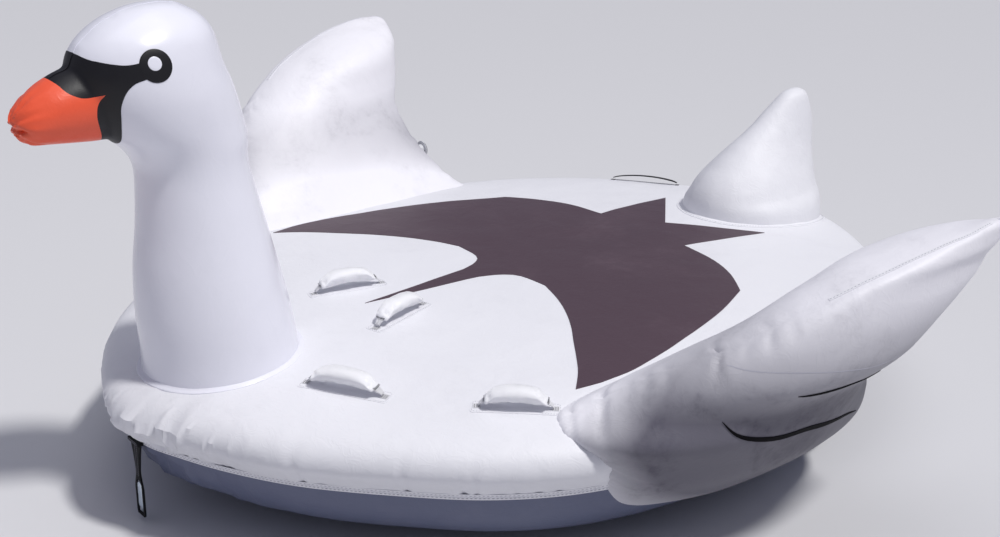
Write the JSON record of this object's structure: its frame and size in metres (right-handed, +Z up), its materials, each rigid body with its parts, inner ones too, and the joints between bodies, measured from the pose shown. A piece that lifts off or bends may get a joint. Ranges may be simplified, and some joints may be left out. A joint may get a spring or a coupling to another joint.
{
  "type": "towable tube",
  "caption": "Inflatable swan-shaped towable for lay-on riders: crowned deck with padded handles, upswept wings, tail fin, raised neck and head, tow strap at the bow.",
  "frame": {"origin": "centre of the footprint at the underside of the hull", "axes": "+Z up, head and bow towards -Y, tail towards +Y, the swan's left side towards +X"},
  "size_m": [2.3268, 2.3657, 1.1508],
  "materials": {
    "cover_white": "coated nylon, satin",
    "cover_grey": "coated nylon, satin",
    "bladder": "smooth film",
    "deck_panel": "bonded panel, matte",
    "vinyl_white": "glossy film",
    "vinyl_orange": "glossy film",
    "vinyl_black": "glossy film",
    "handle_padding": "padded cloth",
    "webbing_white": "woven",
    "webbing_black": "woven",
    "tow_alloy": "polished",
    "valve": "moulded",
    "valve_cap": "moulded"
  },
  "bodies": {
    "hull": {"beak": "vinyl_orange", "boarding_strap_patch": "webbing_white", "bottom_cover": "cover_grey", "deck_panel": "deck_panel", "eye_glint_left": "vinyl_white", "eye_glint_right": "vinyl_white", "eye_left": "vinyl_black", "eye_right": "vinyl_black", "face_mask": "vinyl_black", "handle_inner_left_patch": "webbing_white", "handle_inner_right_patch": "webbing_white", "handle_middle_left_patch": "webbing_white", "handle_middle_right_patch": "webbing_white", "handle_outer_left_patch": "webbing_white", "handle_outer_right_patch": "webbing_white", "hull_bladder": "bladder", "hull_valve_body": "valve", "neck_and_head": "vinyl_white", "neck_collar": "vinyl_white", "neck_valve_body": "valve", "seam_tape_bow": "cover_white", "seam_tape_stern": "cover_grey", "tail_bladder": "bladder", "tail_cover": "cover_white", "tail_valve_body": "valve", "top_cover": "cover_white", "tow_anchor_tab": "webbing_black", "wing_bladder_left": "bladder", "wing_bladder_right": "bladder", "wing_cover_left": "cover_white", "wing_cover_right": "cover_white", "wing_valve_left_body": "valve", "wing_valve_right_body": "valve"},
    "handle_inner_left": {"handle_inner_left_sleeve": "handle_padding", "handle_inner_left_webbing": "webbing_white"},
    "handle_inner_right": {"handle_inner_right_sleeve": "handle_padding", "handle_inner_right_webbing": "webbing_white"},
    "handle_middle_left": {"handle_middle_left_sleeve": "handle_padding", "handle_middle_left_webbing": "webbing_white"},
    "handle_middle_right": {"handle_middle_right_sleeve": "handle_padding", "handle_middle_right_webbing": "webbing_white"},
    "handle_outer_left": {"handle_outer_left_sleeve": "handle_padding", "handle_outer_left_webbing": "webbing_white"},
    "handle_outer_right": {"handle_outer_right_sleeve": "handle_padding", "handle_outer_right_webbing": "webbing_white"},
    "boarding_strap": {"boarding_strap": "webbing_black"},
    "tow_strap": {"tow_strap": "webbing_black"},
    "tow_tongue": {"tow_tongue": "tow_alloy"},
    "hull_valve_cap": {"hull_valve_cap": "valve_cap"},
    "neck_valve_cap": {"neck_valve_cap": "valve_cap"},
    "wing_valve_left_cap": {"wing_valve_left_cap": "valve_cap"},
    "wing_valve_right_cap": {"wing_valve_right_cap": "valve_cap"},
    "tail_valve_cap": {"tail_valve_cap": "valve_cap"}
  },
  "joints": [
    {"name": "handle_inner_left_tilt", "type": "hinge", "parent": "hull", "child": "handle_inner_left", "pos_m": [0.11348, -0.35434, 0.38278], "axis": [-0.2791, 0.9594, 0.0412], "range_deg": [-22, 22], "stiffness_Nm_per_rad": 0.3},
    {"name": "handle_inner_right_tilt", "type": "hinge", "parent": "hull", "child": "handle_inner_right", "pos_m": [-0.11348, -0.35434, 0.38278], "axis": [0.2791, 0.9594, 0.0412], "range_deg": [-22, 22], "stiffness_Nm_per_rad": 0.3},
    {"name": "handle_middle_left_tilt", "type": "hinge", "parent": "hull", "child": "handle_middle_left", "pos_m": [0.34027, -0.64872, 0.35857], "axis": [0.8677, 0.497, -0.0121], "range_deg": [-22, 22], "stiffness_Nm_per_rad": 0.3},
    {"name": "handle_middle_right_tilt", "type": "hinge", "parent": "hull", "child": "handle_middle_right", "pos_m": [-0.34027, -0.64872, 0.35857], "axis": [-0.8677, 0.497, -0.0121], "range_deg": [-22, 22], "stiffness_Nm_per_rad": 0.3},
    {"name": "handle_outer_left_tilt", "type": "hinge", "parent": "hull", "child": "handle_outer_left", "pos_m": [0.6273, -0.40854, 0.35321], "axis": [0.6506, 0.7591, -0.0218], "range_deg": [-22, 22], "stiffness_Nm_per_rad": 0.3},
    {"name": "handle_outer_right_tilt", "type": "hinge", "parent": "hull", "child": "handle_outer_right", "pos_m": [-0.6273, -0.40854, 0.35321], "axis": [-0.6506, 0.7591, -0.0218], "range_deg": [-22, 22], "stiffness_Nm_per_rad": 0.3},
    {"name": "boarding_strap_tilt", "type": "hinge", "parent": "hull", "child": "boarding_strap", "pos_m": [-0.39986, 0.89028, 0.34564], "axis": [0.8087, 0.5882, 0.0031], "range_deg": [-18, 18], "stiffness_Nm_per_rad": 0.15},
    {"name": "tow_strap_swing", "type": "hinge", "parent": "hull", "child": "tow_strap", "pos_m": [0, -0.98636, 0.1895], "axis": [-1, 0, 0], "range_deg": [-8, 85]},
    {"name": "tow_tongue_flip", "type": "hinge", "parent": "tow_strap", "child": "tow_tongue", "pos_m": [0, -0.98636, 0.017], "axis": [1, 0, 0], "range_deg": [0, 75]},
    {"name": "hull_valve_cap_hinge", "type": "hinge", "parent": "hull", "child": "hull_valve_cap", "pos_m": [0, 1.1793, 0.2862], "axis": [1, 0, 0], "range_deg": [0, 110]},
    {"name": "neck_valve_cap_hinge", "type": "hinge", "parent": "hull", "child": "neck_valve_cap", "pos_m": [0, -0.60436, 0.478], "axis": [1, 0, 0], "range_deg": [0, 110]},
    {"name": "wing_valve_left_cap_hinge", "type": "hinge", "parent": "hull", "child": "wing_valve_left_cap", "pos_m": [0.868, 0.41064, 0.45], "axis": [1, 0, 0], "range_deg": [0, 110]},
    {"name": "wing_valve_right_cap_hinge", "type": "hinge", "parent": "hull", "child": "wing_valve_right_cap", "pos_m": [-0.868, 0.39489, 0.45], "axis": [1, 0, 0], "range_deg": [0, 110]},
    {"name": "tail_valve_cap_hinge", "type": "hinge", "parent": "hull", "child": "tail_valve_cap", "pos_m": [0, 1.14774, 0.471], "axis": [1, 0, 0], "range_deg": [0, 110]}
  ]
}
